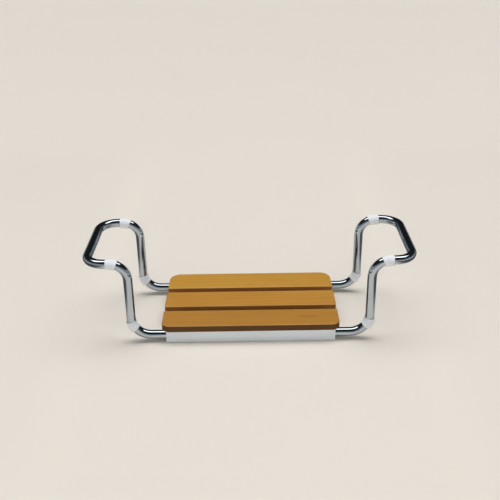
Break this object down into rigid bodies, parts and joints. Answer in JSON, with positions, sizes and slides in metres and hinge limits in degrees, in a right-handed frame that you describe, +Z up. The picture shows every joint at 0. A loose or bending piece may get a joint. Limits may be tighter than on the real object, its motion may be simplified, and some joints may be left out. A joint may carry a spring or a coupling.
{
  "type": "slatted bath seat",
  "caption": "Slatted wooden seat on two channels, hung across a bath by two bent tube hoops that slide in and out to suit its width.",
  "frame": {"origin": "middle of the seat in plan, at the undersides of the channels", "axes": "+X across the bath to the right-hand hoop, +Y to the rear of the seat, +Z up"},
  "size_m": [0.736, 0.252, 0.2058],
  "materials": {
    "slat_wood": "satin lacquer over straight-grained honey-brown wood",
    "tube_chrome": "polished chrome plate",
    "channel_metal": "satin silver",
    "bar_metal": "grey enamel",
    "weld_metal": "grey enamel over weld beads",
    "pad_white": "soft matte white",
    "bush_plastic": "matte dark grey",
    "plug_plastic": "matte black",
    "knob_plastic": "fine-textured black",
    "nut_steel": "dull zinc plate",
    "screw_steel": "bright zinc plate"
  },
  "bodies": {
    "seat": {"slat_front": "slat_wood", "slat_middle": "slat_wood", "slat_rear": "slat_wood", "channel_front": "channel_metal", "channel_rear": "channel_metal", "cross_bar_left": "bar_metal", "slat_screws_left": "screw_steel", "cross_bar_right": "bar_metal", "slat_screws_right": "screw_steel", "cross_bar_welds": "weld_metal", "end_bush_front_left": "bush_plastic", "clamp_nut_front_left": "nut_steel", "end_bush_front_right": "bush_plastic", "clamp_nut_front_right": "nut_steel", "end_bush_rear_left": "bush_plastic", "clamp_nut_rear_left": "nut_steel", "end_bush_rear_right": "bush_plastic", "clamp_nut_rear_right": "nut_steel"},
    "hoop_left": {"hoop_tube_left": "tube_chrome", "tube_plugs_left": "plug_plastic", "rim_pad_front_left": "pad_white", "rim_pad_rear_left": "pad_white", "wall_pad_front_left": "pad_white", "wall_pad_rear_left": "pad_white"},
    "hoop_right": {"hoop_tube_right": "tube_chrome", "tube_plugs_right": "plug_plastic", "rim_pad_front_right": "pad_white", "rim_pad_rear_right": "pad_white", "wall_pad_front_right": "pad_white", "wall_pad_rear_right": "pad_white"},
    "screw_front_left": {"clamp_screw_front_left": "screw_steel"},
    "knob_front_left": {"clamp_knob_front_left": "knob_plastic"},
    "screw_front_right": {"clamp_screw_front_right": "screw_steel"},
    "knob_front_right": {"clamp_knob_front_right": "knob_plastic"},
    "screw_rear_left": {"clamp_screw_rear_left": "screw_steel"},
    "knob_rear_left": {"clamp_knob_rear_left": "knob_plastic"},
    "screw_rear_right": {"clamp_screw_rear_right": "screw_steel"},
    "knob_rear_right": {"clamp_knob_rear_right": "knob_plastic"}
  },
  "joints": [
    {"name": "left_hoop_slide", "type": "slide", "parent": "seat", "child": "hoop_left", "axis": [-1, 0, 0], "range_m": [-0.02, 0.04]},
    {"name": "right_hoop_slide", "type": "slide", "parent": "seat", "child": "hoop_right", "axis": [1, 0, 0], "range_m": [-0.02, 0.04]},
    {"name": "front_left_clamp_travel", "type": "slide", "parent": "seat", "child": "screw_front_left", "axis": [0, 1, 0], "range_m": [0, 0.002]},
    {"name": "front_left_clamp_turn", "type": "hinge", "parent": "screw_front_left", "child": "knob_front_left", "pos_m": [-0.155, -0.088, 0.016], "axis": [0, 1, 0], "range_deg": [0, 720]},
    {"name": "front_right_clamp_travel", "type": "slide", "parent": "seat", "child": "screw_front_right", "axis": [0, 1, 0], "range_m": [0, 0.002]},
    {"name": "front_right_clamp_turn", "type": "hinge", "parent": "screw_front_right", "child": "knob_front_right", "pos_m": [0.155, -0.088, 0.016], "axis": [0, 1, 0], "range_deg": [0, 720]},
    {"name": "rear_left_clamp_travel", "type": "slide", "parent": "seat", "child": "screw_rear_left", "axis": [0, -1, 0], "range_m": [0, 0.002]},
    {"name": "rear_left_clamp_turn", "type": "hinge", "parent": "screw_rear_left", "child": "knob_rear_left", "pos_m": [-0.155, 0.088, 0.016], "axis": [0, -1, 0], "range_deg": [0, 720]},
    {"name": "rear_right_clamp_travel", "type": "slide", "parent": "seat", "child": "screw_rear_right", "axis": [0, -1, 0], "range_m": [0, 0.002]},
    {"name": "rear_right_clamp_turn", "type": "hinge", "parent": "screw_rear_right", "child": "knob_rear_right", "pos_m": [0.155, 0.088, 0.016], "axis": [0, -1, 0], "range_deg": [0, 720]}
  ],
  "couplings": [
    {"joint": "front_left_clamp_turn", "follows": "front_left_clamp_travel", "rad_per_m": 6283.2},
    {"joint": "front_right_clamp_turn", "follows": "front_right_clamp_travel", "rad_per_m": 6283.2},
    {"joint": "rear_left_clamp_turn", "follows": "rear_left_clamp_travel", "rad_per_m": 6283.2},
    {"joint": "rear_right_clamp_turn", "follows": "rear_right_clamp_travel", "rad_per_m": 6283.2}
  ]
}
